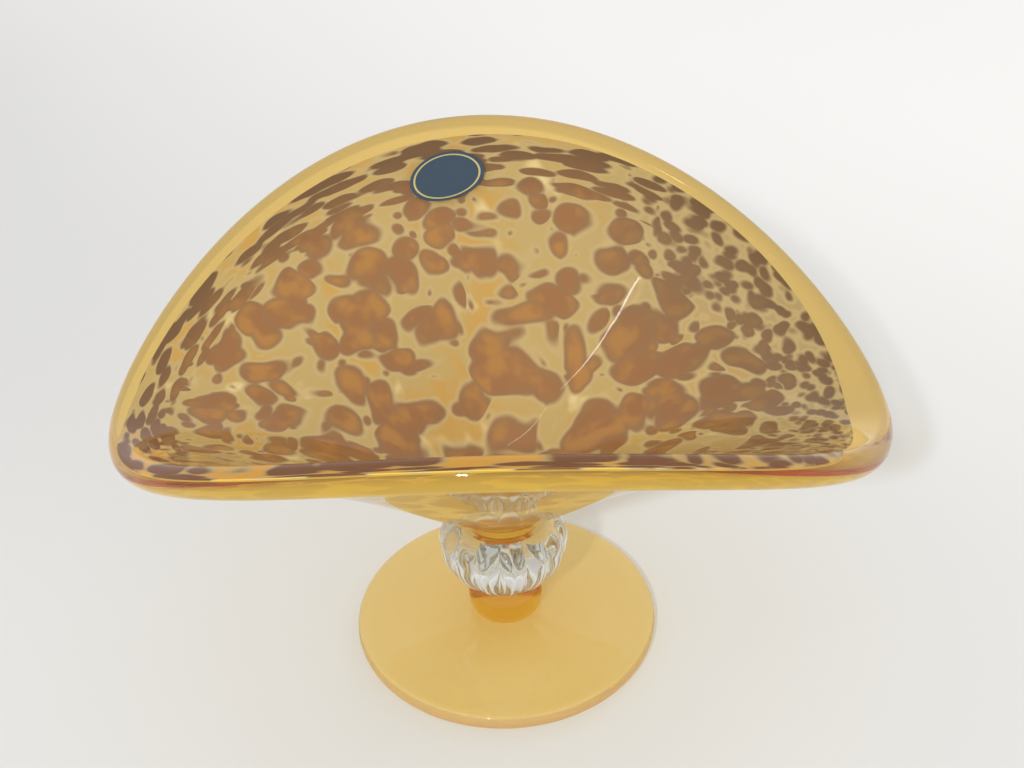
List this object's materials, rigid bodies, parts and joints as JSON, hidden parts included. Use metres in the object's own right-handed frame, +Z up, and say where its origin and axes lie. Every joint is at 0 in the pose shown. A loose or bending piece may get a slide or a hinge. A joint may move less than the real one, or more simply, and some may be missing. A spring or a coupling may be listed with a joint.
{
  "type": "glass compote",
  "caption": "Footed serving bowl of tortoiseshell and amber glass, folded up at front and back into a saddle-shaped rim, on a clear ribbed knop, a short collar and a round foot.",
  "frame": {"origin": "on the table, under the middle of the foot", "axes": "+X along the fold to the right-hand tip, +Y to the back lip, +Z up"},
  "size_m": [0.236, 0.186, 0.1447],
  "materials": {
    "amber_glass": "satin-smooth amber glass",
    "deep_amber_glass": "polished deep amber glass",
    "clear_glass": "fire-polished clear glass",
    "tortoiseshell_glass": "polished amber glass over brown spots on a cream ground",
    "sticker_foil": "smooth dark blue foil, blank"
  },
  "bodies": {
    "root": {"foot": "amber_glass", "collar": "deep_amber_glass", "knop": "clear_glass", "bowl": "tortoiseshell_glass", "sticker": "sticker_foil"}
  },
  "joints": []
}
